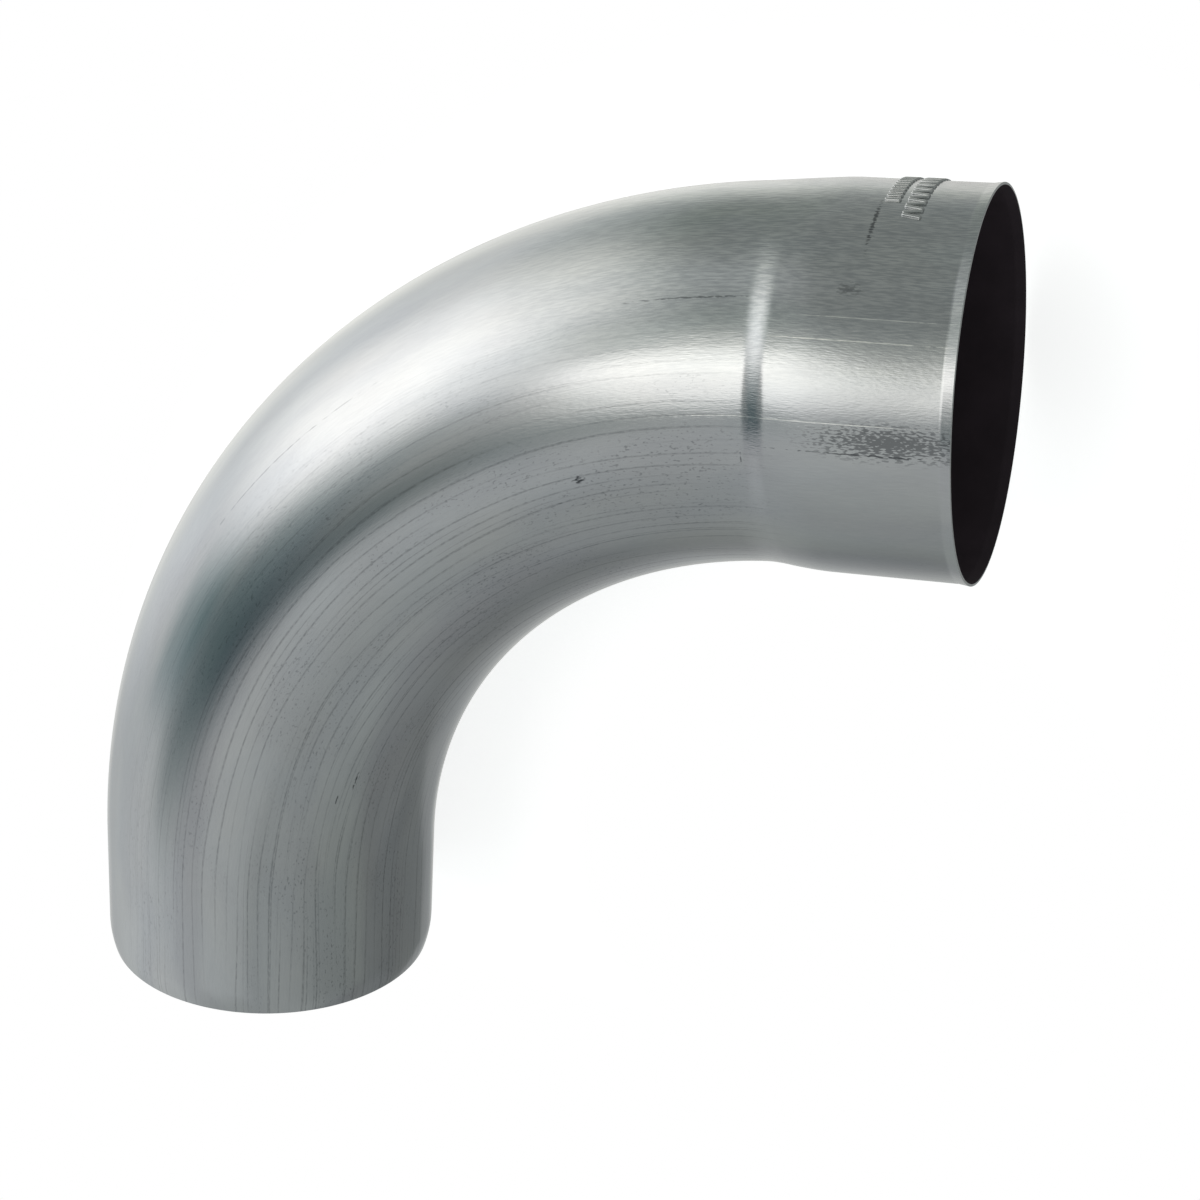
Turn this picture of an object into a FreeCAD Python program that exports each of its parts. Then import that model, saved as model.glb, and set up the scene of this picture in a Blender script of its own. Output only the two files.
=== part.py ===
import FreeCAD, Part
import math
import os
import Sketcher
from FreeCAD import Placement, Rotation, Vector

# Downpipe bend in thin sheet zinc, one formed piece.
# It lies on its side: the bend's plane is level, at Z = 0. The origin is on the spigot's axis, where the
# straight spigot leg runs into the bend. The leg points along -Y and the bend turns towards +X.
# The spigot end is drawn in a little, so that it enters the next pipe. The other end widens gently, across
# the place where the bend runs out, into a straight socket that takes a pipe of the same outside diameter,
# and its mouth has a small flare.

# Driving sizes, millimetres and degrees, each with what it measures
SIZES = {
    "outside_diameter": (100.0, "over the plain tube"),
    "wall": (0.7, "sheet thickness"),
    "bend_angle": (85.0, "between the two ends' axes"),
    "bend_radius": (172.7, "to the tube's centreline"),
    "spigot_length": (37.0, "straight leg, from its rim to the bend"),
    "draw_in_length": (8.0, "last stretch of the leg, which tapers"),
    "draw_in_depth": (1.2, "loss of radius at the spigot's rim"),
    "step_lead": (12.0, "last stretch of the bend, where the widening begins"),
    "step_run": (10.0, "first stretch of the socket, where the widening ends"),
    "socket_depth": (46.0, "straight leg of the socket, from the bend to its rim"),
    "socket_clearance": (0.7, "between the socket and a pipe in it, radial"),
    "flare_length": (2.2, "last stretch of the socket, which opens out"),
    "flare_height": (0.4, "gain of radius at the socket's rim"),
}

NODE = "bend"
# Stations along each half of the step, on the bend and on the socket, as shares of that half
STEP_STATIONS = (0.0, 0.25, 0.5, 0.75, 1.0)

START, END, CENTRE = 1, 2, 3
X_AXIS = -1


def size(name):
    """One driving size, for the first guess that a sketch is solved from."""
    return SIZES[name][0]


def step_share(way):
    """How far the step has risen after a share of its whole way: an S curve, level at both ends."""
    return way ** 2 * (3 - 2 * way)


def arc_radius(length, rise):
    """Radius of an arc that leaves a straight line and has moved off it by rise after a length."""
    return (length ** 2 + rise ** 2) / (2 * rise)


def make_sheet(doc):
    """The spreadsheet of driving sizes, each under its own alias."""
    sheet = doc.addObject("Spreadsheet::Sheet", "Sizes")
    for row, (name, (value, meaning)) in enumerate(SIZES.items(), start=1):
        sheet.set(f"A{row}", name)
        sheet.set(f"B{row}", str(value))
        sheet.set(f"C{row}", meaning)
        sheet.setAlias(f"B{row}", name)
    doc.recompute()
    return sheet


def origin_plane(body, role):
    """One of the body's own three planes."""
    return next(plane for plane in body.Origin.OriginFeatures if plane.Role == role)


def new_sketch(body, name, role, offset=Placement()):
    """A sketch on one of the body's planes, moved by an offset in that plane's own directions."""
    sketch = body.newObject("Sketcher::SketchObject", name)
    sketch.AttachmentSupport = [(origin_plane(body, role), "")]
    sketch.MapMode = "FlatFace"
    sketch.AttachmentOffset = offset
    return sketch


def dimension(sketch, name, kind, references, value, expression):
    """A named dimension, tied to the sheet by an expression."""
    index = sketch.addConstraint(Sketcher.Constraint(kind, *references, value))
    sketch.renameConstraint(index, name)
    sketch.setExpression(f"Constraints.{name}", expression)


def line(sketch, start, end):
    return sketch.addGeometry(Part.LineSegment(Vector(*start, 0), Vector(*end, 0)), False)


def arc(sketch, centre, radius, first, last):
    """An arc that runs anticlockwise between two angles in radians."""
    circle = Part.Circle(Vector(*centre, 0), Vector(0, 0, 1), radius)
    return sketch.addGeometry(Part.ArcOfCircle(circle, first, last), False)


def wall_profile(sketch, foot, straight_end, rim, radius, curve_length, curve_rise):
    """Section of a tube wall that runs straight from foot and then curves to its rim.

    The tube's axis is the sketch's vertical axis. foot, straight_end and rim are heights on it, and radius
    is the outer one of the straight stretch. A rise above zero curves away from the axis, one below zero
    towards it. The wall keeps its thickness round the curve, and the rim is cut square to the axis.
    """
    wall = size("wall")
    side = math.copysign(1, curve_rise)
    up = math.copysign(1, rim - foot)
    bend = arc_radius(curve_length, abs(curve_rise))
    centre = (radius + side * bend, straight_end)
    outer_arc = bend
    inner_arc = bend + side * wall
    inner_rim = centre[0] - side * math.sqrt(inner_arc ** 2 - curve_length ** 2)
    outer = line(sketch, (radius, foot), (radius, straight_end))
    inner = line(sketch, (radius - wall, foot), (radius - wall, straight_end))
    line_foot = line(sketch, (radius - wall, foot), (radius, foot))
    line_rim = line(sketch, (inner_rim, rim), (radius + curve_rise, rim))
    level = math.pi if side > 0 else 0.0
    arcs = []
    for arc_size in (outer_arc, inner_arc):
        tilt = level - side * up * math.asin(curve_length / arc_size)
        arcs.append(arc(sketch, centre, arc_size, min(level, tilt), max(level, tilt)))
    # An arc's start is the point at its smaller angle
    at_rim, at_line = (START, END) if side * up > 0 else (END, START)
    joins = [
        ("Coincident", (line_foot, START, inner, START)),
        ("Coincident", (line_foot, END, outer, START)),
        ("Coincident", (line_rim, START, arcs[1], at_rim)),
        ("Coincident", (line_rim, END, arcs[0], at_rim)),
        ("Tangent", (outer, END, arcs[0], at_line)),
        ("Tangent", (inner, END, arcs[1], at_line)),
        ("Coincident", (arcs[0], CENTRE, arcs[1], CENTRE)),
        ("Vertical", (outer,)),
        ("Vertical", (inner,)),
        ("Horizontal", (line_rim,)),
        ("Horizontal", (line_foot,)),
        ("PointOnObject", (outer, START, X_AXIS)),
    ]
    for kind, references in joins:
        sketch.addConstraint(Sketcher.Constraint(kind, *references))
    return outer, inner, line_rim, line_foot


def ring(sketch, radius, expression):
    """The tube's section: two circles round the sketch's origin, a wall apart."""
    circles = (("OuterRadius", radius, expression),
               ("InnerRadius", radius - size("wall"), f"{expression} - Sizes.wall"))
    for name, guess, formula in circles:
        circle = sketch.addGeometry(Part.Circle(Vector(0, 0, 0), Vector(0, 0, 1), guess), False)
        sketch.addConstraint(Sketcher.Constraint("Coincident", circle, CENTRE, X_AXIS, START))
        dimension(sketch, name, "Radius", (circle,), guess, formula)


def make_spigot(body):
    """The straight leg with its drawn-in end, turned about the Y axis."""
    sketch = new_sketch(body, "SpigotProfile", "XY_Plane")
    radius = size("outside_diameter") / 2
    straight_end = size("draw_in_length") - size("spigot_length")
    outer, inner, rim, foot = wall_profile(sketch, 0, straight_end, -size("spigot_length"), radius,
                                           size("draw_in_length"), -size("draw_in_depth"))
    dimension(sketch, "TubeRadius", "DistanceX", (X_AXIS, START, outer, START), radius,
              "Sizes.outside_diameter / 2")
    dimension(sketch, "Wall", "DistanceX", (inner, START, outer, START), size("wall"), "Sizes.wall")
    dimension(sketch, "LegLength", "DistanceY", (rim, END, outer, START), size("spigot_length"),
              "Sizes.spigot_length")
    dimension(sketch, "DrawInLength", "DistanceY", (rim, END, outer, END), size("draw_in_length"),
              "Sizes.draw_in_length")
    dimension(sketch, "DrawInDepth", "DistanceX", (rim, END, outer, END), size("draw_in_depth"),
              "Sizes.draw_in_depth")
    spigot = body.newObject("PartDesign::Revolution", "Spigot")
    spigot.Profile = sketch
    spigot.ReferenceAxis = (sketch, ["V_Axis"])
    spigot.Angle = 360
    return spigot


def make_bend(body):
    """The plain bend: the tube's ring turned about the bend's own axis, as far as the step."""
    sketch = new_sketch(body, "BendSection", "XZ_Plane")
    ring(sketch, size("outside_diameter") / 2, "Sizes.outside_diameter / 2")
    radius = size("bend_radius")
    axis = sketch.addGeometry(Part.LineSegment(Vector(radius, 0, 0), Vector(radius, 10, 0)), True)
    sketch.addConstraint(Sketcher.Constraint("Vertical", axis))
    sketch.addConstraint(Sketcher.Constraint("PointOnObject", axis, START, X_AXIS))
    dimension(sketch, "AxisMark", "DistanceY", (axis, START, axis, END), 10, "10")
    dimension(sketch, "BendRadius", "DistanceX", (X_AXIS, START, axis, START), radius, "Sizes.bend_radius")
    bend = body.newObject("PartDesign::Revolution", "Bend")
    bend.Profile = sketch
    bend.ReferenceAxis = (sketch, ["Axis0"])
    bend.Reversed = True
    bend.setExpression("Angle", "Sizes.bend_angle - Sizes.step_lead / Sizes.bend_radius * 180 / pi")
    return bend


def step_sketch(body, number, lead_share, run_share):
    """The tube's ring at one station of the step, square to the centreline of the bend or the socket."""
    lead, run = size("step_lead"), size("step_run")
    way = (lead_share * lead + run_share * run) / (lead + run)
    turn = f"(Sizes.bend_angle - {1 - lead_share} * Sizes.step_lead / Sizes.bend_radius * 180 / pi)"
    ahead = f"{run_share} * Sizes.step_run"
    sketch = new_sketch(body, f"StepSection{number}", "XZ_Plane",
                        Placement(Vector(0, 0, 0), Rotation(Vector(0, 1, 0), 45)))
    sketch.setExpression("AttachmentOffset.Base.x",
                         f"Sizes.bend_radius * (1 - cos({turn})) + {ahead} * sin({turn})")
    sketch.setExpression("AttachmentOffset.Base.z",
                         f"-Sizes.bend_radius * sin({turn}) - {ahead} * cos({turn})")
    sketch.setExpression("AttachmentOffset.Rotation.Angle", f"-{turn}")
    radius = size("outside_diameter") / 2 + step_share(way) * (size("socket_clearance") + size("wall"))
    way_formula = f"(({lead_share} * Sizes.step_lead + {ahead}) / (Sizes.step_lead + Sizes.step_run))"
    share_formula = f"{way_formula} ^ 2 * (3 - 2 * {way_formula})"
    ring(sketch, radius,
         f"Sizes.outside_diameter / 2 + {share_formula} * (Sizes.socket_clearance + Sizes.wall)")
    return sketch


def make_step(body):
    """The widening over the end of the bend and the start of the socket, through rings on their axis.

    It is two lofts, one each side of the place where the arc runs out, and they share the ring there.
    """
    stations = [(share, 0.0) for share in STEP_STATIONS] + [(1.0, share) for share in STEP_STATIONS[1:]]
    sections = [step_sketch(body, number, *station) for number, station in enumerate(stations, start=1)]
    middle = len(STEP_STATIONS) - 1
    for name, rings in (("StepLead", sections[:middle + 1]), ("StepRun", sections[middle:])):
        loft = body.newObject("PartDesign::AdditiveLoft", name)
        loft.Profile = rings[0]
        loft.Sections = rings[1:]
        loft.Ruled = False
        body.Document.recompute()
    return loft


def make_socket(body):
    """The rest of the socket, with its flared mouth, turned about the axis of the bend's far end."""
    sketch = new_sketch(body, "SocketProfile", "XY_Plane",
                        Placement(Vector(0, 0, 0), Rotation(Vector(0, 0, -1), size("bend_angle"))))
    turn = "(Sizes.bend_angle)"
    sketch.setExpression("AttachmentOffset.Base.x",
                         f"Sizes.bend_radius * (1 - cos{turn}) + Sizes.step_run * sin{turn}")
    sketch.setExpression("AttachmentOffset.Base.y",
                         f"Sizes.bend_radius * sin{turn} + Sizes.step_run * cos{turn}")
    sketch.setExpression("AttachmentOffset.Rotation.Angle", "Sizes.bend_angle")
    radius = size("outside_diameter") / 2 + size("socket_clearance") + size("wall")
    depth = size("socket_depth") - size("step_run")
    outer, inner, rim, foot = wall_profile(sketch, 0, depth - size("flare_length"), depth, radius,
                                           size("flare_length"), size("flare_height"))
    dimension(sketch, "BoreRadius", "DistanceX", (X_AXIS, START, inner, START), radius - size("wall"),
              "Sizes.outside_diameter / 2 + Sizes.socket_clearance")
    dimension(sketch, "Wall", "DistanceX", (inner, START, outer, START), size("wall"), "Sizes.wall")
    dimension(sketch, "SocketDepth", "DistanceY", (outer, START, rim, END), depth,
              "Sizes.socket_depth - Sizes.step_run")
    dimension(sketch, "FlareLength", "DistanceY", (outer, END, rim, END), size("flare_length"),
              "Sizes.flare_length")
    dimension(sketch, "FlareHeight", "DistanceX", (outer, END, rim, END), size("flare_height"),
              "Sizes.flare_height")
    socket = body.newObject("PartDesign::Revolution", "Socket")
    socket.Profile = sketch
    socket.ReferenceAxis = (sketch, ["V_Axis"])
    socket.Angle = 360
    return socket


def check(doc, body):
    """Stops if anything failed to compute, or if the body isn't one sound solid."""
    for obj in doc.Objects:
        if "Invalid" in obj.State or "Error" in obj.State:
            raise RuntimeError(f"{obj.Name} did not compute: {obj.State}")
        if obj.isDerivedFrom("Sketcher::SketchObject") and not obj.FullyConstrained:
            raise RuntimeError(f"{obj.Name} isn't fully constrained")
    if body.Shape.isNull() or not body.Shape.isValid():
        raise RuntimeError(f"{body.Label} has no valid shape")
    if len(body.Shape.Solids) != 1:
        raise RuntimeError(f"{body.Label} came out as {len(body.Shape.Solids)} solids")


def main():
    doc = FreeCAD.newDocument("DownpipeBend")
    make_sheet(doc)
    body = doc.addObject("PartDesign::Body", "BendBody")
    body.Label = NODE
    for feature in (make_spigot, make_bend, make_step, make_socket):
        feature(body)
        doc.recompute()
    check(doc, body)
    os.makedirs("parts", exist_ok=True)
    body.Shape.exportStep(f"parts/{NODE}.step")
    print(f"{NODE}: {body.Shape.Volume:.1f} cubic mm, {body.Shape.BoundBox}")


main()
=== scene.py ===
import math

import bmesh
import bpy
from bpy.props import FloatProperty, FloatVectorProperty, IntProperty, PointerProperty
from mathutils import Euler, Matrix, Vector


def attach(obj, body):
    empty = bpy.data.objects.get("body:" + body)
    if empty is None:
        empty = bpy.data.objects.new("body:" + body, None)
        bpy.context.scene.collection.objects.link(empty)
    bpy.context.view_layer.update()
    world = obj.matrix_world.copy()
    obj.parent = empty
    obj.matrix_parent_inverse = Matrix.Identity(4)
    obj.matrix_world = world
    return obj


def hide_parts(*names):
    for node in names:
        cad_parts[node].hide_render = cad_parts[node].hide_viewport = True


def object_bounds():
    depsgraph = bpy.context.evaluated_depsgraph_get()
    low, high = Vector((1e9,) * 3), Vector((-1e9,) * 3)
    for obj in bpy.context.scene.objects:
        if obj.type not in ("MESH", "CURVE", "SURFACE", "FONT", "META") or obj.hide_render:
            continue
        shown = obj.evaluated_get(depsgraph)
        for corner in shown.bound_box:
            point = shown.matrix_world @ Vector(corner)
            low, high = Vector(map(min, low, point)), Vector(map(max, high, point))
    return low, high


bl_info = {
    "name": "Downpipe bend",
    "version": (1, 0, 0),
    "blender": (4, 5, 0),
    "location": "View3D > Sidebar > Bend",
    "description": "A zinc downpipe bend: rolled shell, stamped rows, streaked metal, and a pale studio",
    "category": "Object",
}

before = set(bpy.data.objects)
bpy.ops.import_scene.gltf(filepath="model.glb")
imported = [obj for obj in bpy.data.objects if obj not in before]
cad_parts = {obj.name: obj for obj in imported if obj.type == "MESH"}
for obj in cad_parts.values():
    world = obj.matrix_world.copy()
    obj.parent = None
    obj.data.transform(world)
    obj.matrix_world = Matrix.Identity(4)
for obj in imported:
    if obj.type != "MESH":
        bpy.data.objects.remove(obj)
CAD_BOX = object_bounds()

NODE = "bend"
BODY = "root"

MM = 0.001
TURN = 2 * math.pi

# Ring places along the sheet, as how many equal steps each stretch of the tube has
LEG_STEPS = 6
DRAW_IN_STEPS = 8
BEND_STEPS = 84
STEP_STEPS = 24
SOCKET_STEPS = 16
EDGE_STEPS = 2
FLARE_STEPS = 6
# Either way from the start of the flare, where rings lie close together and keep its edge crisp
EDGE_REACH = 0.4 * MM
# Where the rolled sheet's two long edges meet, points closer than this become one
WELD = 0.001 * MM


def length(name, description, millimetres, **settings):
    """A property that holds a length in metres, given in millimetres."""
    return FloatProperty(name=name, description=description, default=millimetres * MM, unit="LENGTH",
                         precision=5, **settings)


def share(name, description, default):
    """A property that holds a plain factor."""
    return FloatProperty(name=name, description=description, default=default, min=0.0)


def tint(name, description, default):
    """A property that holds a linear colour."""
    return FloatVectorProperty(name=name, description=description, default=default, subtype="COLOR",
                               size=3, min=0.0, max=1.0)


class BendSizes(bpy.types.PropertyGroup):
    """The tube's sizes: the solid's, and the press's finer forms in the step and at the mouth."""
    tube_radius: length("Tube radius", "Outer radius of the plain tube", 50.0)
    wall: length("Wall", "Sheet thickness", 0.7)
    bend_radius: length("Bend radius", "To the tube's centreline", 172.7)
    bend_angle: FloatProperty(name="Bend angle", description="Between the two ends' axes",
                              default=math.radians(85), subtype="ANGLE")
    leg: length("Leg", "Straight spigot leg, from its rim to the bend", 37.0)
    draw_in: length("Draw-in", "Last stretch of the leg, which tapers", 8.0)
    draw_in_depth: length("Draw-in depth", "Loss of radius at the spigot's rim", 1.2)
    step_lead: length("Step lead", "Last stretch of the bend, where the widening begins", 12.0)
    step_run: length("Step run", "First stretch of the socket, where the widening ends", 10.0)
    step_rise: length("Step rise", "Gain of radius over the step: the wall and the socket's clearance", 1.4)
    socket: length("Socket", "Straight leg of the socket, from the bend to its rim", 46.0)
    flare: length("Flare", "Last stretch of the socket, which opens out like a short cone", 2.8)
    flare_rise: length("Flare rise", "Gain of radius at the socket's rim", 0.4)
    press_share: share("Press share", "Part of the step's rise that the press left in one narrow strip", 0.7)
    press_from: length("Press from", "From the bend's end back to the strip's start", 6.2)
    press_width: length("Press width", "Length of the strip", 6.0)
    press_middle: FloatProperty(name="Press middle",
                                description="Where the strip is sharpest, round the tube",
                                default=math.radians(76), subtype="ANGLE")
    press_reach: FloatProperty(name="Press reach", description="How far the strip reaches either way",
                               default=math.radians(56), subtype="ANGLE")
    flattening: length("Flattening", "Loss of height at the socket's rim, on the top and the underside", 0.6)
    flattened: length("Flattened", "Last stretch of the socket, over which it flattens", 36.0)
    around: IntProperty(name="Faces around", description="Faces in one ring of the shell",
                        default=300, min=24)
    rim_round: length("Rim rounding", "Radius on the edges of the cut rims", 0.1)


class StampSizes(bpy.types.PropertyGroup):
    """The stamped rows on the socket: plain raised bars, which stand for no word or sign."""
    outer_count: IntProperty(name="Bars by the mouth", description="Bars in the row by the mouth",
                             default=27, min=1)
    outer_pitch: length("Outer pitch", "Between bars of the row by the mouth, round the tube", 1.83)
    outer_length: length("Outer bar", "Length of a bar in the row by the mouth", 5.2)
    outer_place: length("Outer place", "From the socket's rim to the middle of the row", 17.5)
    outer_slant: FloatProperty(name="Outer slant", description="Bars lean to one side and the other by this",
                               default=math.radians(12), subtype="ANGLE")
    inner_count: IntProperty(name="Bars by the step", description="Bars in the row by the step",
                             default=16, min=1)
    inner_pitch: length("Inner pitch", "Between bars of the row by the step, round the tube", 2.2)
    inner_length: length("Inner bar", "Length of a bar in the row by the step", 4.2)
    inner_place: length("Inner place", "From the socket's rim to the middle of the row", 23.6)
    width: length("Bar width", "Width of every bar", 1.05)
    height: length("Bar height", "How far the bars stand above the sheet", 0.55)
    turned: FloatProperty(name="Turned", description="Middle of the rows, round the tube",
                          default=math.radians(-4.5), subtype="ANGLE")


class ZincFinish(bpy.types.PropertyGroup):
    """Colours and finish of the sheet zinc, with painted highlights on scratches, painted sparkle in the
    streaks, a painted dark reflection and the inner wall's painted shade.
    """
    bright: tint("Bright zinc", "Clean rolled surface", (0.545, 0.55, 0.545))
    dull: tint("Dull zinc", "Wide patches of duller metal", (0.49, 0.495, 0.50))
    dark: tint("Dark marks", "Drawing lines, pits and scratches", (0.05, 0.055, 0.062))
    # Painted highlight: the near-white colour of the glints, where scratches catch the light
    painted_glint: tint("Glints", "Fresh scratches that catch the light", (0.95, 0.94, 0.90))
    # Painted shade: the inner wall's colour is near black because the tube's interior lies in shade
    inside: tint("Inside", "The unpolished inner wall", (0.045, 0.032, 0.04))
    cut_edge: tint("Cut edge", "Fresh metal of the cut rims", (0.78, 0.78, 0.76))
    roughness: share("Roughness", "Of the clean surface", 0.17)
    inside_roughness: share("Inside roughness", "Of the inner wall", 0.7)
    patchiness: share("Patchiness", "How much the roughness varies from patch to patch", 0.10)
    pressed_roughness: share("Pressed roughness", "Of the raised bars, which the press rubbed bright", 0.2)
    edge_roughness: share("Edge roughness", "Of the cut rims", 0.3)
    brushing: share("Brushing", "How much the shine stretches across the rolling lines", 0.3)
    lines: share("Lines", "How dark the drawing lines are", 0.42)
    flecks: share("Flecks", "How dark the flecks in the dull patches are", 0.35)
    # The streaks are partly the grain's own tone and partly painted sparkle and painted shade
    streaks: share("Streaks", "How strong the streaks on the upper side near the socket are", 0.5)
    streaks_elsewhere: share("Streaks elsewhere", "How strong they are on all of the sheet", 0.07)
    grain: length("Grain", "Height of the fine grain in the skin", 0.022)
    waves: length("Waves", "Height of the shallow waves left by the rolls", 0.016)


class StudioSettings(bpy.types.PropertyGroup):
    """The floor, the camera and the light."""
    floor_size: length("Floor size", "Side of the square floor", 6000.0)
    floor_colour: tint("Floor", "Pale floor", (0.80, 0.80, 0.80))
    floor_white: share("Floor white", "White that the camera sees over the floor's own light", 0.75)
    shadow_from: length("Shadow from", "From the tube's centreline to where the shadow begins to fade", 55.0)
    shadow_to: length("Shadow to", "From the tube's centreline to where it is gone", 85.0)
    camera_place: FloatVectorProperty(name="Camera place", description="Where the camera stands",
                                      default=(0.292158, 0.368032, 0.591989), subtype="TRANSLATION")
    camera_turn: FloatVectorProperty(name="Camera turn", description="How the camera is turned",
                                     default=[math.radians(a) for a in (-22.552, 19.188, 3.386)],
                                     subtype="EULER")
    focal_length: FloatProperty(name="Focal length", description="Of the lens, in millimetres",
                                default=72.268)
    dome: tint("Dome", "Soft light from all round", (0.300, 0.325, 0.315))


class Tree:
    """A node tree that is filled call by call: each call makes one node and wires its inputs."""

    def __init__(self, tree):
        self.tree = tree
        tree.nodes.clear()

    def node(self, kind, inputs=None, **settings):
        """A node of that kind, with its settings, and its inputs set to values or wired to sockets."""
        made = self.tree.nodes.new(kind)
        for name, value in settings.items():
            setattr(made, name, value)
        for key, value in (inputs or {}).items():
            self.put(value, made.inputs[key])
        return made

    def put(self, value, socket):
        """Sets an input to a value, or wires it to an output."""
        if isinstance(value, bpy.types.NodeSocket):
            self.tree.links.new(value, socket)
        else:
            socket.default_value = value

    def math(self, operation, *values, clamp=False):
        made = self.node("ShaderNodeMath", dict(enumerate(values)), operation=operation, use_clamp=clamp)
        return made.outputs[0]

    def add(self, *values):
        total = values[0]
        for value in values[1:]:
            total = self.math("ADD", total, value)
        return total

    def subtract(self, a, b):
        return self.math("SUBTRACT", a, b)

    def multiply(self, *values):
        product = values[0]
        for value in values[1:]:
            product = self.math("MULTIPLY", product, value)
        return product

    def divide(self, a, b):
        return self.math("DIVIDE", a, b)

    def share_of(self, value, start, end, smooth=False):
        """How far a value has gone from start to end, from 0 to 1."""
        shape = "SMOOTHSTEP" if smooth else "LINEAR"
        made = self.node("ShaderNodeMapRange", {0: value, 1: start, 2: end, 3: 0.0, 4: 1.0},
                         interpolation_type=shape, clamp=True)
        return made.outputs[0]

    def xyz(self, x, y, z):
        return self.node("ShaderNodeCombineXYZ", {0: x, 1: y, 2: z}).outputs[0]

    def split(self, vector):
        return self.node("ShaderNodeSeparateXYZ", {0: vector}).outputs

    def vector(self, operation, *values):
        return self.node("ShaderNodeVectorMath", dict(enumerate(values)), operation=operation).outputs[0]

    def mix(self, factor, a, b, blend="MIX"):
        """One colour into another."""
        made = self.node("ShaderNodeMix", data_type="RGBA", blend_type=blend, clamp_factor=True)
        self.put(factor, made.inputs[0])
        self.put(a, made.inputs[6])
        self.put(b, made.inputs[7])
        return made.outputs[2]


# The tube's sizes that the rolling tree takes, by input name and by property name
ROLL_INPUTS = {
    "Tube radius": "tube_radius",
    "Bend radius": "bend_radius",
    "Bend angle": "bend_angle",
    "Leg": "leg",
    "Draw-in": "draw_in",
    "Draw-in depth": "draw_in_depth",
    "Step lead": "step_lead",
    "Step run": "step_run",
    "Step rise": "step_rise",
    "Socket": "socket",
    "Flare": "flare",
    "Flare rise": "flare_rise",
    "Press share": "press_share",
    "Press from": "press_from",
    "Press width": "press_width",
    "Press middle": "press_middle",
    "Press reach": "press_reach",
    "Flattening": "flattening",
    "Flattened": "flattened",
}


def outline_radius(t, size, along, angle, arc):
    """Outer radius of the tube at a place on it: plain, drawn in, stepped up, flattened and flared."""
    rim = t.multiply(size["Leg"], -1.0)
    drawn = t.share_of(along, t.add(rim, size["Draw-in"]), rim)
    mouth = t.add(arc, size["Socket"])
    flared = t.share_of(along, t.subtract(mouth, size["Flare"]), mouth)
    gentle = t.share_of(along, t.subtract(arc, size["Step lead"]), t.add(arc, size["Step run"]), smooth=True)
    strip = t.subtract(arc, size["Press from"])
    sharp = t.share_of(along, strip, t.add(strip, size["Press width"]), smooth=True)
    off = t.math("ABSOLUTE", t.subtract(angle, size["Press middle"]))
    pressed = t.multiply(t.share_of(off, size["Press reach"], 0.0, smooth=True), size["Press share"])
    stepped = t.add(gentle, t.multiply(pressed, t.subtract(sharp, gentle)))
    flattened = t.share_of(along, t.subtract(mouth, size["Flattened"]), mouth, smooth=True)
    sine = t.math("SINE", angle)
    return t.add(size["Tube radius"],
                 t.multiply(stepped, size["Step rise"]),
                 t.multiply(flared, size["Flare rise"]),
                 t.multiply(flattened, sine, sine, size["Flattening"], -1.0),
                 t.multiply(drawn, drawn, size["Draw-in depth"], -1.0))


def rolling_tree():
    """Rolls a flat sheet into the bent tube.

    A point of the sheet gives its angle round the tube in X, where 0 is the outer side of the bend and a
    quarter turn is the top, its distance along the centreline in Y, and its height above the skin in Z.
    """
    tree = bpy.data.node_groups.new("Roll into bend", "GeometryNodeTree")
    tree.is_modifier = True
    tree.interface.new_socket("Geometry", in_out="INPUT", socket_type="NodeSocketGeometry")
    tree.interface.new_socket("Geometry", in_out="OUTPUT", socket_type="NodeSocketGeometry")
    for name in ROLL_INPUTS:
        tree.interface.new_socket(name, in_out="INPUT", socket_type="NodeSocketFloat")
    tree.interface.new_socket("Material", in_out="INPUT", socket_type="NodeSocketMaterial")
    t = Tree(tree)
    size = t.node("NodeGroupInput").outputs
    angle, along, height = t.split(t.node("GeometryNodeInputPosition").outputs[0])
    arc = t.multiply(size["Bend radius"], size["Bend angle"])
    turned = t.math("MINIMUM", t.math("MAXIMUM", t.divide(along, size["Bend radius"]), 0.0),
                    size["Bend angle"])
    beyond = t.math("MAXIMUM", t.subtract(along, arc), 0.0)
    before = t.math("MINIMUM", along, 0.0)
    sine = t.math("SINE", turned)
    cosine = t.math("COSINE", turned)
    centre = t.xyz(t.add(t.multiply(size["Bend radius"], t.subtract(1.0, cosine)), t.multiply(beyond, sine)),
                   t.add(before, t.multiply(size["Bend radius"], sine), t.multiply(beyond, cosine)),
                   0.0)
    radius = t.add(outline_radius(t, size, along, angle, arc), height)
    outward = t.multiply(radius, t.math("COSINE", angle))
    upward = t.multiply(radius, t.math("SINE", angle))
    spoke = t.xyz(t.multiply(outward, cosine, -1.0), t.multiply(outward, sine), upward)
    placed = t.node("GeometryNodeSetPosition",
                    {"Geometry": size["Geometry"], "Position": t.vector("ADD", centre, spoke)})
    merged = t.node("GeometryNodeMergeByDistance",
                    {"Geometry": placed.outputs[0], "Distance": WELD})
    smooth = t.node("GeometryNodeSetShadeSmooth", {"Geometry": merged.outputs[0]})
    finish_tree(t, smooth.outputs[0], size["Material"])
    return tree


def finish_tree(t, geometry, material):
    """The end of every geometry tree: real meshes instead of instances, in their material."""
    real = t.node("GeometryNodeRealizeInstances", {"Geometry": geometry})
    painted = t.node("GeometryNodeSetMaterial", {"Geometry": real.outputs[0], "Material": material})
    t.node("NodeGroupOutput", {"Geometry": painted.outputs[0]})


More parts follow.
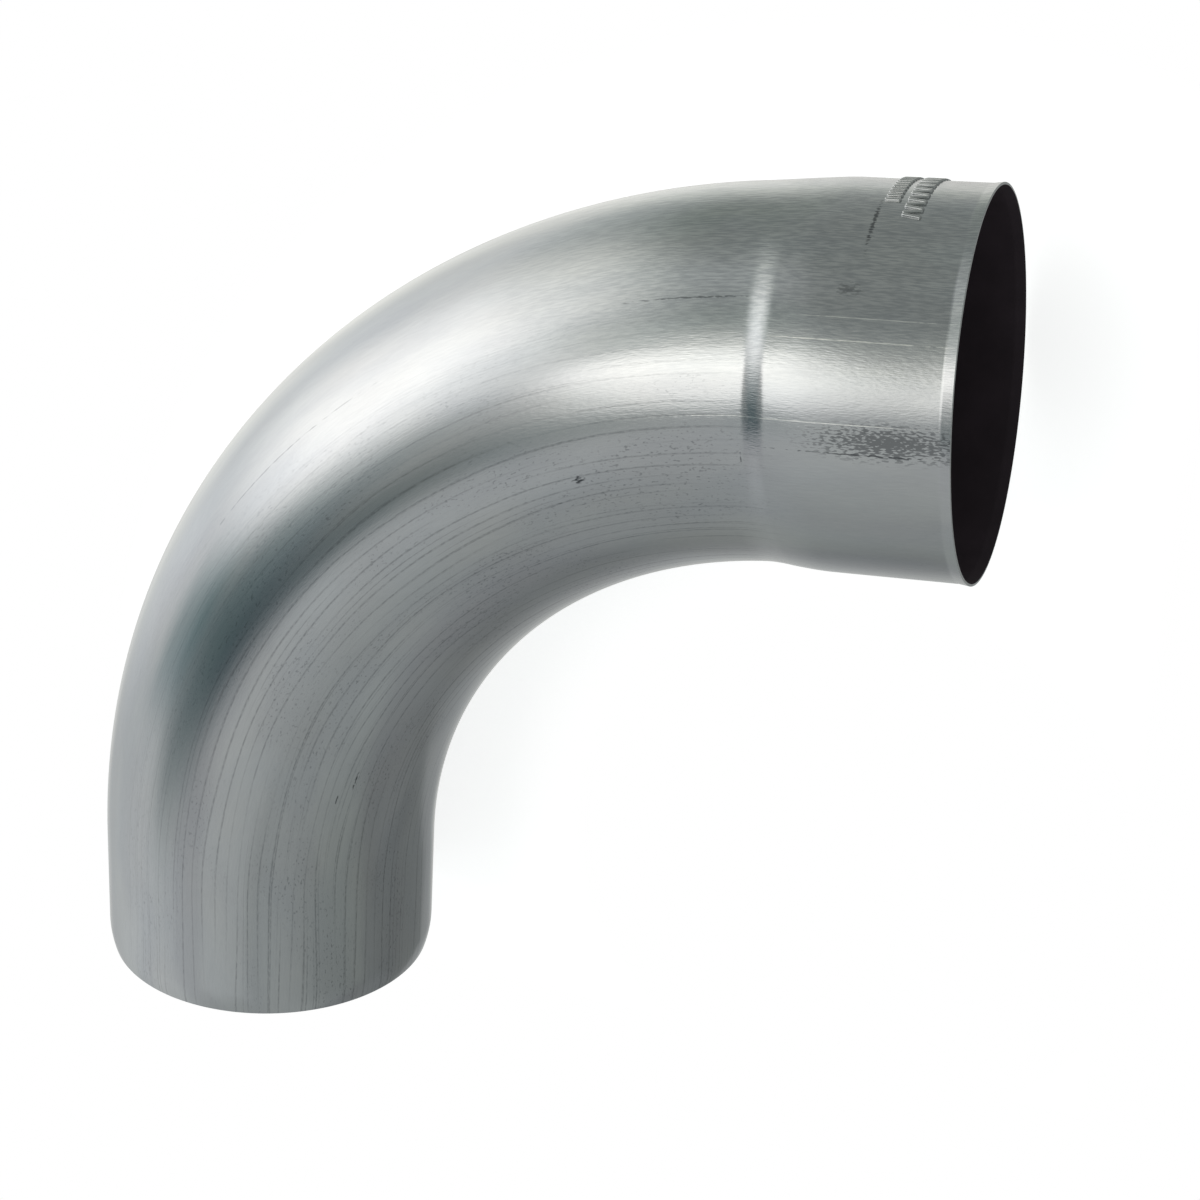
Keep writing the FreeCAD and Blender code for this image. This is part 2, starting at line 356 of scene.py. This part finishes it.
def apply_tree(piece, tree, values):
    """Puts a geometry tree on a piece, with its named inputs set."""
    modifier = piece.modifiers.new(tree.name, "NODES")
    modifier.node_group = tree
    sockets = {item.name: item.identifier for item in tree.interface.items_tree if item.in_out == "INPUT"}
    for name, value in values.items():
        modifier[sockets[name]] = value
    return modifier


def roll(piece, sizes, material):
    """Rolls a flat piece up by the tube's sizes."""
    tree = bpy.data.node_groups.get("Roll into bend") or rolling_tree()
    values = {name: getattr(sizes, prop) for name, prop in ROLL_INPUTS.items()}
    return apply_tree(piece, tree, values | {"Material": material})


STAMP_INPUTS = {"Count": "NodeSocketInt", "Pitch": "NodeSocketFloat", "Length": "NodeSocketFloat",
                "Width": "NodeSocketFloat", "Height": "NodeSocketFloat", "Slant": "NodeSocketFloat",
                "Along": "NodeSocketFloat", "Turned": "NodeSocketFloat", "Radius": "NodeSocketFloat",
                "Material": "NodeSocketMaterial"}


def stamped_row_tree():
    """A row of rounded bars on the flat sheet, leaning to one side and the other in turn.

    The row runs round the tube, so its places are divided by the radius to give the sheet's angles. The
    bars' lower halves lie in the wall.
    """
    tree = bpy.data.node_groups.new("Stamped row", "GeometryNodeTree")
    tree.is_modifier = True
    tree.interface.new_socket("Geometry", in_out="INPUT", socket_type="NodeSocketGeometry")
    tree.interface.new_socket("Geometry", in_out="OUTPUT", socket_type="NodeSocketGeometry")
    for name, kind in STAMP_INPUTS.items():
        tree.interface.new_socket(name, in_out="INPUT", socket_type=kind)
    t = Tree(tree)
    given = t.node("NodeGroupInput").outputs
    span = t.multiply(given["Pitch"], t.subtract(given["Count"], 1.0))
    start = t.xyz(t.multiply(span, -0.5), 0.0, 0.0)
    row = t.node("GeometryNodeMeshLine", {"Count": given["Count"], "Start Location": start,
                                          "Offset": t.xyz(given["Pitch"], 0.0, 0.0)})
    block = t.node("GeometryNodeMeshCube",
                   {"Size": t.xyz(given["Width"], given["Length"], t.multiply(given["Height"], 2.0)),
                    "Vertices X": 3, "Vertices Y": 8, "Vertices Z": 3})
    bar = t.node("GeometryNodeSubdivisionSurface", {"Mesh": block.outputs["Mesh"], "Level": 1})
    turn = t.math("MODULO", t.node("GeometryNodeInputIndex").outputs[0], 2.0)
    lean = t.multiply(given["Slant"], t.subtract(t.multiply(turn, 2.0), 1.0))
    bars = t.node("GeometryNodeInstanceOnPoints",
                  {"Points": row.outputs["Mesh"], "Instance": bar.outputs["Mesh"],
                   "Rotation": t.xyz(0.0, 0.0, lean)})
    real = t.node("GeometryNodeRealizeInstances", {"Geometry": bars.outputs[0]})
    x, y, z = t.split(t.node("GeometryNodeInputPosition").outputs[0])
    place = t.xyz(t.add(t.divide(x, given["Radius"]), given["Turned"]), t.add(y, given["Along"]), z)
    placed = t.node("GeometryNodeSetPosition", {"Geometry": real.outputs[0], "Position": place})
    finish_tree(t, placed.outputs[0], given["Material"])
    return tree


def bake_modifiers(piece):
    """The piece with its modifiers worked into a plain mesh."""
    bpy.context.view_layer.update()
    evaluated = piece.evaluated_get(bpy.context.evaluated_depsgraph_get())
    mesh = bpy.data.meshes.new_from_object(evaluated)
    piece.modifiers.clear()
    old, piece.data = piece.data, mesh
    name = old.name
    bpy.data.meshes.remove(old)
    mesh.name = name
    return piece


def link(name, mesh):
    """A new object at the origin that shows the mesh."""
    obj = bpy.data.objects.new(name, mesh)
    bpy.context.scene.collection.objects.link(obj)
    return obj


def stations(sizes):
    """Ring places along the tube, closer where its outline curves."""
    arc = sizes.bend_radius * sizes.bend_angle
    mouth = arc + sizes.socket
    flare = mouth - sizes.flare
    marks = [(-sizes.leg, None), (sizes.draw_in - sizes.leg, DRAW_IN_STEPS), (0.0, LEG_STEPS),
             (arc - sizes.step_lead, BEND_STEPS), (arc, STEP_STEPS), (arc + sizes.step_run, STEP_STEPS // 2),
             (flare - EDGE_REACH, SOCKET_STEPS), (flare + EDGE_REACH, EDGE_STEPS), (mouth, FLARE_STEPS)]
    places = [marks[0][0]]
    for (start, _), (end, steps) in zip(marks, marks[1:]):
        places += [start + (end - start) * i / steps for i in range(1, steps + 1)]
    return places


def flat_sheet(sizes):
    """The shell's sheet before it is rolled, with a UV map that runs once round and once along."""
    places = stations(sizes)
    first, last = places[0], places[-1]
    mesh = bpy.data.meshes.new("bend_shell")
    bm = bmesh.new()
    uv = bm.loops.layers.uv.new("Around and along")
    rows = [[bm.verts.new((TURN * i / sizes.around, place, 0.0)) for i in range(sizes.around + 1)]
            for place in places]
    for low, high in zip(rows, rows[1:]):
        for i in range(sizes.around):
            face = bm.faces.new((low[i], low[i + 1], high[i + 1], high[i]))
            for loop in face.loops:
                x, y, _ = loop.vert.co
                loop[uv].uv = (x / TURN, (y - first) / (last - first))
    bm.to_mesh(mesh)
    bm.free()
    return mesh


def principled(t, inputs):
    """A Principled shader with its output node."""
    shader = t.node("ShaderNodeBsdfPrincipled", inputs)
    t.node("ShaderNodeOutputMaterial", {"Surface": shader.outputs[0]})
    return shader


def new_material(name):
    """A material by that name and its empty tree."""
    material = bpy.data.materials.get(name) or bpy.data.materials.new(name)
    material.use_nodes = True
    return material, Tree(material.node_tree)


def rgba(colour):
    """The colour with full cover."""
    return (*colour, 1.0)


# Single marks on the sheet: how far along the tube from the bend's start and how far round it, then their
# length along the tube and width round it, all in millimetres and degrees, and how strong they are
DARK_MARKS = (
    ("pit", 203.0, 101.2, 3.0, 1.7, 0.95),
    ("rubbed scratch", 237, 52.2, 25, 0.5, 0.6),
    ("hairline", 124, 50.0, 58, 0.3, 0.4),
    ("smudge", 274.0, 49.0, 5.5, 3.2, 0.42),
    ("nick across", 249.5, 99, 0.35, 3.8, 0.6),
    ("crease on the socket", 281, 94.4, 42, 0.35, 0.7),
    ("black dash", 53.4, 137, 8, 0.5, 0.9),
    ("short dash", 44.8, 132.5, 4, 0.45, 0.8),
    # The dull patch is partly duller metal and partly a painted dark reflection
    ("dull patch", 288, 90.6, 36, 8.0, 0.62),
    ("rub line across", 276.0, 24.5, 1.1, 17, 0.7),
)
# The glints are scratches whose highlight is painted into the colour as near-white lines
PAINTED_GLINTS = (
    ("high glint", 280, 57.1, 44, 0.32, 0.75),
    ("middle glint", 278, 63.5, 48, 0.34, 0.85),
    ("low glint", 262, 86.1, 78, 0.34, 0.85),
)


# The sheet's colour is multiplied by these: in its cooler patches, and in the streaks' dark and light parts,
# which are partly the grain's own tone and partly painted shade and painted sparkle
COOL = (0.985, 1.0, 1.015, 1.0)
STREAK_DARK = (0.74, 0.76, 0.78, 1.0)
STREAK_LIGHT = (1.26, 1.26, 1.24, 1.0)

# How much the dots break up the edges of dark marks and of the painted glints
DARK_WEAR = 1.4
PAINTED_GLINT_WEAR = 0.5


class SheetPattern:
    """Patterns on the tube's skin, as node outputs. Lengths are in millimetres, angles in degrees."""

    def __init__(self, t, sizes):
        self.t = t
        self.radius = sizes.tube_radius / MM
        self.arc = sizes.bend_radius * sizes.bend_angle / MM
        total = self.arc + (sizes.leg + sizes.socket) / MM
        u, v, _ = t.split(t.node("ShaderNodeUVMap", uv_map="Around and along").outputs[0])
        self.angle = t.multiply(u, TURN)
        self.around = t.multiply(self.angle, self.radius)
        self.along = t.subtract(t.multiply(v, total), sizes.leg / MM)
        # The tube made straight, so that noise meets itself round it
        self.tube = t.xyz(t.multiply(t.math("COSINE", self.angle), self.radius),
                          t.multiply(t.math("SINE", self.angle), self.radius), self.along)
        self.drift = t.multiply(t.subtract(self.noise(9.0, 55.0, seed=61.0), 0.5), 2.6)
        self.dots = t.share_of(self.noise(0.42, 1.5, seed=13.0, detail=1.0), 0.36, 0.6)
        self.patches = self.noise(13.0, 48.0, seed=5.0, detail=2.0)
        # The inner side of the bend was drawn over the tool
        self.drawn = t.multiply(self.facing(128, 0.25, 0.8), self.stretch(self.arc + 4, self.arc - 20))

    def noise(self, across, lengthwise, seed, detail=0.0):
        """Noise with cells that long round the tube and along it."""
        at = self.t.vector("MULTIPLY", self.tube, (1 / across, 1 / across, 1 / lengthwise))
        at = self.t.vector("ADD", at, (seed, seed, seed))
        return self.t.node("ShaderNodeTexNoise", {"Vector": at, "Scale": 1.0, "Detail": detail}).outputs[0]

    def facing(self, degrees, none, full):
        """The side of the tube at an angle, between two cosines of the angle from it."""
        t = self.t
        return t.share_of(t.math("COSINE", t.subtract(self.angle, math.radians(degrees))), none, full)

    def stretch(self, none, full):
        """How far a place is on its way from one ring of the tube to another."""
        return self.t.share_of(self.along, none, full)

    def rows(self, pitch, wide):
        """Thin lines along the tube, one in each pitch round it, that waver a little."""
        t = self.t
        place = t.divide(t.add(self.around, self.drift), pitch)
        off = t.math("ABSOLUTE", t.subtract(t.math("FRACT", place), 0.5))
        return t.share_of(off, wide / pitch / 2, 0.0, smooth=True)

    def lines(self):
        """Finely dotted drawing lines on the inner side, that come and go in long strokes."""
        t = self.t
        strokes = self.noise(2.0, 110.0, seed=41.0, detail=1.0)
        lines = t.math("MAXIMUM", t.multiply(self.rows(3.3, 0.8), t.share_of(strokes, 0.36, 0.56)),
                       t.multiply(self.rows(1.7, 0.5), t.share_of(strokes, 0.50, 0.70)))
        return t.multiply(lines, t.add(0.35, t.multiply(self.dots, 0.65)), self.drawn)

    def flecks(self):
        """Small dark flecks in the dull patches, most of them on the inner side."""
        t = self.t
        return t.multiply(t.share_of(self.noise(0.5, 1.3, seed=47.0, detail=1.0), 0.62, 0.70),
                          t.share_of(self.patches, 0.42, 0.62), t.add(0.15, self.drawn))

    def mark(self, place, degrees, long, wide, strength, wear):
        """One mark, its edges broken up by the dots where it is worn."""
        t = self.t
        ahead = t.divide(t.subtract(self.along, place), long / 2)
        beside = t.divide(t.subtract(self.around, math.radians(degrees) * self.radius), wide / 2)
        reach = t.math("SQRT", t.add(t.multiply(ahead, ahead), t.multiply(beside, beside)))
        edge = t.add(1.0, t.multiply(t.subtract(self.dots, 0.6), wear))
        return t.multiply(t.share_of(reach, edge, t.multiply(edge, 0.55)), strength)


def zinc_colour(sheet, finish):
    """Grey metal with dull and cool patches, lines, flecks, streaks partly of painted sparkle and shade, and
    single marks, among them glints painted as highlights and a dull patch partly of painted dark reflection.
    """
    t = sheet.t
    dark, painted_glint = rgba(finish.dark), rgba(finish.painted_glint)
    colour = t.mix(t.share_of(sheet.patches, 0.36, 0.66), rgba(finish.bright), rgba(finish.dull))
    cool = t.share_of(sheet.noise(15.0, 40.0, seed=23.0, detail=1.0), 0.35, 0.65)
    colour = t.mix(cool, colour, COOL, blend="MULTIPLY")
    colour = t.mix(t.multiply(sheet.lines(), finish.lines), colour, dark)
    colour = t.mix(t.multiply(sheet.flecks(), finish.flecks), colour, dark)
    # Salt-and-pepper streaks on the upper side near the socket: partly the grain's own tone, partly painted
    # sparkle and painted shade, fading out towards the band of the main highlight
    sparkle_zone = t.multiply(sheet.facing(20, 0.55, 0.9), sheet.stretch(sheet.arc - 70, sheet.arc - 10))
    pepper = t.mix(t.share_of(sheet.noise(0.4, 3.4, seed=71.0, detail=1.0), 0.36, 0.64),
                   STREAK_DARK, STREAK_LIGHT)
    streaks = t.add(finish.streaks_elsewhere, t.multiply(sparkle_zone, finish.streaks))
    colour = t.mix(streaks, colour, pepper, blend="MULTIPLY")
    for _, *mark in DARK_MARKS:
        colour = t.mix(sheet.mark(*mark, DARK_WEAR), colour, dark)
    # Painted highlights: the glints' scratches are painted near white
    for _, *mark in PAINTED_GLINTS:
        colour = t.mix(sheet.mark(*mark, PAINTED_GLINT_WEAR), colour, painted_glint)
    return colour


def zinc_skin(sheet, finish):
    """Fine grain and shallow waves, as a bump: coarser on the socket, and most of all in the step."""
    t = sheet.t
    pressed = t.math("ABSOLUTE", t.subtract(sheet.along, sheet.arc - 3))
    coarse = t.add(0.45, t.multiply(sheet.stretch(sheet.arc - 90, sheet.arc - 15), 0.55),
                   t.share_of(pressed, 5.0, 1.0, smooth=True))
    height = t.add(t.multiply(sheet.noise(0.34, 1.9, seed=31.0, detail=1.0), coarse, finish.grain),
                   t.multiply(sheet.noise(2.2, 40.0, seed=37.0, detail=1.0), finish.waves))
    return t.node("ShaderNodeBump", {"Strength": 1.0, "Distance": 1.0, "Height": height}).outputs[0]


def zinc_material(finish, sizes):
    """Rolled zinc, whose shine stretches across the rolling lines."""
    material, t = new_material("Zinc sheet")
    sheet = SheetPattern(t, sizes)
    rough = t.add(finish.roughness, t.multiply(t.subtract(sheet.patches, 0.5), finish.patchiness))
    tangent = t.node("ShaderNodeTangent", direction_type="UV_MAP", uv_map="Around and along").outputs[0]
    principled(t, {"Base Color": zinc_colour(sheet, finish), "Metallic": 1.0, "Roughness": rough,
                   "Normal": zinc_skin(sheet, finish), "Anisotropic": finish.brushing, "Tangent": tangent})
    return material


def stamped_material(finish):
    """The raised bars, rubbed smooth and bright by the press."""
    material, t = new_material("Zinc stamped")
    principled(t, {"Base Color": rgba(finish.bright), "Metallic": 1.0,
                   "Roughness": finish.pressed_roughness})
    return material


def inside_material(finish):
    """The inner wall: dull, and painted dark with the shade of the tube's interior."""
    material, t = new_material("Zinc inside")
    place = t.node("ShaderNodeTexCoord").outputs["Object"]
    mottle = t.node("ShaderNodeTexNoise", {"Vector": place, "Scale": 90.0, "Detail": 5.0}).outputs[0]
    paler = [1.35 * part for part in finish.inside]
    colour = t.mix(t.share_of(mottle, 0.35, 0.75), rgba(finish.inside), rgba(paler))
    principled(t, {"Base Color": colour, "Metallic": 0.0, "Roughness": finish.inside_roughness,
                   "Specular IOR Level": 0.25})
    return material


def cut_edge_material(finish):
    """The sheared rims, where fresh metal shows."""
    material, t = new_material("Zinc cut edge")
    place = t.node("ShaderNodeTexCoord").outputs["Object"]
    nicks = t.node("ShaderNodeTexNoise", {"Vector": place, "Scale": 900.0, "Detail": 3.0}).outputs[0]
    colour = t.mix(t.share_of(nicks, 0.5, 0.8), rgba(finish.cut_edge), rgba(finish.dull))
    principled(t, {"Base Color": colour, "Metallic": 1.0,
                   "Roughness": finish.edge_roughness})
    return material


def panel_light(t, direction, azimuth, elevation, width, height, tilt, softness, light):
    """One soft-edged bright or dark panel on the dome round the object."""
    turn = Euler((math.radians(elevation), math.radians(tilt), math.radians(-azimuth)), "YXZ").to_matrix()
    side, middle, top = (turn @ Vector(axis) for axis in ((1, 0, 0), (0, 1, 0), (0, 0, 1)))

    def part_along(axis):
        """The direction's part along an axis."""
        made = t.node("ShaderNodeVectorMath", {0: direction, 1: axis}, operation="DOT_PRODUCT")
        return made.outputs["Value"]

    def reach_of(axis, size):
        """How far the direction is from the middle towards an axis, squared: 1 at the panel's edge."""
        part = part_along(axis / math.sin(math.radians(size) / 2))
        return t.multiply(part, part)

    across, upright = reach_of(side, width), reach_of(top, height)
    reach = t.math("SQRT", t.math("MULTIPLY_ADD", across, across, t.multiply(upright, upright)))
    behind = t.math("MINIMUM", part_along(middle), 0.0)
    reach = t.math("MULTIPLY_ADD", behind, -BEHIND, reach)
    amount = t.share_of(reach, 1.0 + softness, 1.0 - softness, smooth=True)
    scaled = t.node("ShaderNodeVectorMath", {0: light, "Scale": amount}, operation="SCALE")
    return scaled.outputs[0]


# How fast a panel's reach grows on the far side of the dome, where its mirror image would lie
BEHIND = 50.0
# The least light from any direction
LEAST = (0.02, 0.02, 0.02)

# Soft panels round the object, below it too. Angles are in degrees: azimuth from +Y towards +X, elevation,
# width, height and tilt. Softness is how far the edge fades. The last three numbers are the light it adds.
# These numbers and the dome's weren't set by hand: a fit to the brightness of the photographed metal gave
# them, and the camera's place, turn and focal length come from a fit to the photographed outline.
PANELS = (
    ("side window", -63, 25, 46, 79, -7, 1.00, (1.01, 0.97, 0.93)),
    ("window foot", -66, -5, 62, 81, 19, 0.50, (0.34, 0.34, 0.36)),
    ("top bar", -62, 69, 20, 30, -31, 1.00, (1.20, 1.17, 1.14)),
    ("top bar end", -96, 54, 85, 19, -5, 1.00, (-0.12, -0.13, -0.12)),
    ("over the window", -67, 42, 53, 23, 7, 0.57, (-0.27, -0.24, -0.22)),
    ("dark gap", -101, 46, 31, 44, 5, 1.00, (-0.59, -0.56, -0.56)),
    ("foot of the gap", -99, 15, 16, 22, -7, 1.00, (-0.32, -0.27, -0.26)),
    ("left wall", -110, -5, 82, 118, 11, 1.00, (0.32, 0.32, 0.33)),
    ("right wall", -41, 27, 20, 174, 0, 1.00, (-0.23, -0.21, -0.23)),
    ("low left", -92, -56, 103, 40, -13, 0.34, (0.12, 0.12, 0.11)),
    ("low right", 123, -53, 125, 101, -2, 0.12, (-0.07, -0.08, -0.07)),
    ("under foot", -90, -70, 57, 44, 39, 1.00, (0.43, 0.41, 0.38)),
    ("back wall", -159, 43, 111, 89, 1, 0.55, (0.12, 0.12, 0.13)),
)


def studio_world(studio):
    """A pale dome with a few soft panels; a camera ray sees plain white."""
    world = bpy.data.worlds.new("Studio")
    world.use_nodes = True
    t = Tree(world.node_tree)
    direction = t.node("ShaderNodeTexCoord").outputs["Generated"]
    dome = tuple(studio.dome)
    for _, *panel in PANELS:
        dome = t.vector("ADD", dome, panel_light(t, direction, *panel))
    dome = t.vector("MAXIMUM", dome, LEAST)
    lit = t.node("ShaderNodeBackground", {"Color": dome, "Strength": 1.0}).outputs[0]
    white = t.node("ShaderNodeBackground", {"Color": (1, 1, 1, 1), "Strength": 1.0}).outputs[0]
    seen = t.node("ShaderNodeLightPath").outputs["Is Camera Ray"]
    shown = t.node("ShaderNodeMixShader", {0: seen, 1: lit, 2: white}).outputs[0]
    t.node("ShaderNodeOutputWorld", {"Surface": shown})
    return world


def floor_material(studio, sizes):
    """Pale matt floor. A camera sees it white but for the shadow, and metal sees the studio through it."""
    material, t = new_material("Pale floor")
    matt = t.node("ShaderNodeBsdfDiffuse", {"Color": rgba(studio.floor_colour)}).outputs[0]
    path = t.node("ShaderNodeLightPath").outputs
    camera = path["Is Camera Ray"]
    white = t.node("ShaderNodeEmission", {"Strength": t.multiply(camera, studio.floor_white)}).outputs[0]
    pale = t.node("ShaderNodeAddShader", {0: matt, 1: white}).outputs[0]
    # Away from the bend and its shadow a camera sees plain white at once
    x, y, _ = t.split(t.node("ShaderNodeTexCoord").outputs["Object"])
    across = t.subtract(x, sizes.bend_radius)
    from_centre = t.math("SQRT", t.add(t.multiply(across, across), t.multiply(y, y)))
    off = t.math("ABSOLUTE", t.subtract(from_centre, sizes.bend_radius))
    inner, outer = studio.shadow_from, studio.shadow_to
    ends = t.math("MAXIMUM", t.subtract(x, sizes.bend_radius + sizes.socket), t.subtract(-sizes.leg, y))
    off = t.math("MAXIMUM", off, t.add(ends, sizes.tube_radius))
    far = t.share_of(off, inner, outer, smooth=True)
    plain = t.node("ShaderNodeEmission", {"Strength": 1.0}).outputs[0]
    shown = t.node("ShaderNodeMixShader", {0: t.multiply(camera, far), 1: pale, 2: plain}).outputs[0]
    clear = t.node("ShaderNodeBsdfTransparent").outputs[0]
    seen = t.node("ShaderNodeMixShader", {0: path["Is Glossy Ray"], 1: shown, 2: clear}).outputs[0]
    t.node("ShaderNodeOutputMaterial", {"Surface": seen})
    return material


class BEND_OT_shell(bpy.types.Operator):
    """Roll the flat sheet into the bent tube, give it its wall, and round its rims"""
    bl_idname = "bend.shell"
    bl_label = "Bend shell"

    def execute(self, context):
        sizes, finish = context.scene.bend_sizes, context.scene.bend_finish
        shell = link("bend_shell", flat_sheet(sizes))
        zinc = zinc_material(finish, sizes)
        for material in (zinc, inside_material(finish), cut_edge_material(finish)):
            shell.data.materials.append(material)
        roll(shell, sizes, zinc)
        wall = shell.modifiers.new("Wall", "SOLIDIFY")
        wall.thickness = sizes.wall
        wall.offset = -1.0
        wall.material_offset = 1
        wall.material_offset_rim = 2
        rims = shell.modifiers.new("Rims", "BEVEL")
        rims.width = sizes.rim_round
        rims.segments = 2
        rims.limit_method = "ANGLE"
        rims.angle_limit = math.radians(50)
        rims.harden_normals = True
        bake_modifiers(shell)
        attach(shell, BODY)
        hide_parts(NODE)
        return {"FINISHED"}


class BEND_OT_stamping(bpy.types.Operator):
    """Press two rows of plain raised bars into the socket"""
    bl_idname = "bend.stamping"
    bl_label = "Stamped rows"

    def execute(self, context):
        sizes, stamp = context.scene.bend_sizes, context.scene.bend_stamp
        material = stamped_material(context.scene.bend_finish)
        mouth = sizes.bend_radius * sizes.bend_angle + sizes.socket
        tree = stamped_row_tree()
        shared = {"Width": stamp.width, "Height": stamp.height, "Turned": stamp.turned,
                  "Radius": sizes.tube_radius + sizes.step_rise, "Material": material}
        rows = (("stamped_row_outer", stamp.outer_count, stamp.outer_pitch, stamp.outer_length,
                 stamp.outer_place, stamp.outer_slant),
                ("stamped_row_inner", stamp.inner_count, stamp.inner_pitch, stamp.inner_length,
                 stamp.inner_place, 0.0))
        for name, count, pitch, bar, place, slant in rows:
            row = link(name, bpy.data.meshes.new(name))
            apply_tree(row, tree, shared | {"Count": count, "Pitch": pitch, "Length": bar, "Slant": slant,
                                            "Along": mouth - place})
            roll(row, sizes, material)
            bake_modifiers(row)
            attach(row, BODY)
        return {"FINISHED"}


class BEND_OT_studio(bpy.types.Operator):
    """Add the floor, the light and the camera"""
    bl_idname = "bend.studio"
    bl_label = "Studio"

    def execute(self, context):
        studio = context.scene.bend_studio
        half = studio.floor_size / 2
        level = CAD_BOX[0][2]
        mesh = bpy.data.meshes.new("floor")
        corners = [(-half, -half, level), (half, -half, level), (half, half, level), (-half, half, level)]
        mesh.from_pydata(corners, [], [(0, 1, 2, 3)])
        mesh.materials.append(floor_material(studio, context.scene.bend_sizes))
        floor = link("floor", mesh)
        context.scene.world = studio_world(studio)
        camera_data = bpy.data.cameras.new("Camera")
        camera_data.lens = studio.focal_length
        camera = bpy.data.objects.new("Camera", camera_data)
        camera.location = studio.camera_place
        camera.rotation_euler = Euler(studio.camera_turn, "XYZ")
        context.scene.collection.objects.link(camera)
        context.scene.camera = camera
        context.scene.view_settings.view_transform = "Standard"
        return {"FINISHED"}


class BEND_PT_panel(bpy.types.Panel):
    """The steps that build the bend, in order"""
    bl_label = "Downpipe bend"
    bl_idname = "BEND_PT_panel"
    bl_space_type = "VIEW_3D"
    bl_region_type = "UI"
    bl_category = "Bend"

    def draw(self, context):
        for operator in OPERATORS:
            self.layout.operator(operator.bl_idname)


GROUPS = {"bend_sizes": BendSizes, "bend_stamp": StampSizes, "bend_finish": ZincFinish,
          "bend_studio": StudioSettings}
OPERATORS = (BEND_OT_shell, BEND_OT_stamping, BEND_OT_studio)


def register():
    for cls in (*GROUPS.values(), *OPERATORS, BEND_PT_panel):
        bpy.utils.register_class(cls)
    for name, group in GROUPS.items():
        setattr(bpy.types.Scene, name, PointerProperty(type=group))


def unregister():
    for name in GROUPS:
        delattr(bpy.types.Scene, name)
    for cls in reversed((*GROUPS.values(), *OPERATORS, BEND_PT_panel)):
        bpy.utils.unregister_class(cls)


def main():
    register()
    bpy.ops.bend.shell()
    bpy.ops.bend.stamping()
    bpy.ops.bend.studio()


if __name__ == "__main__":
    main()
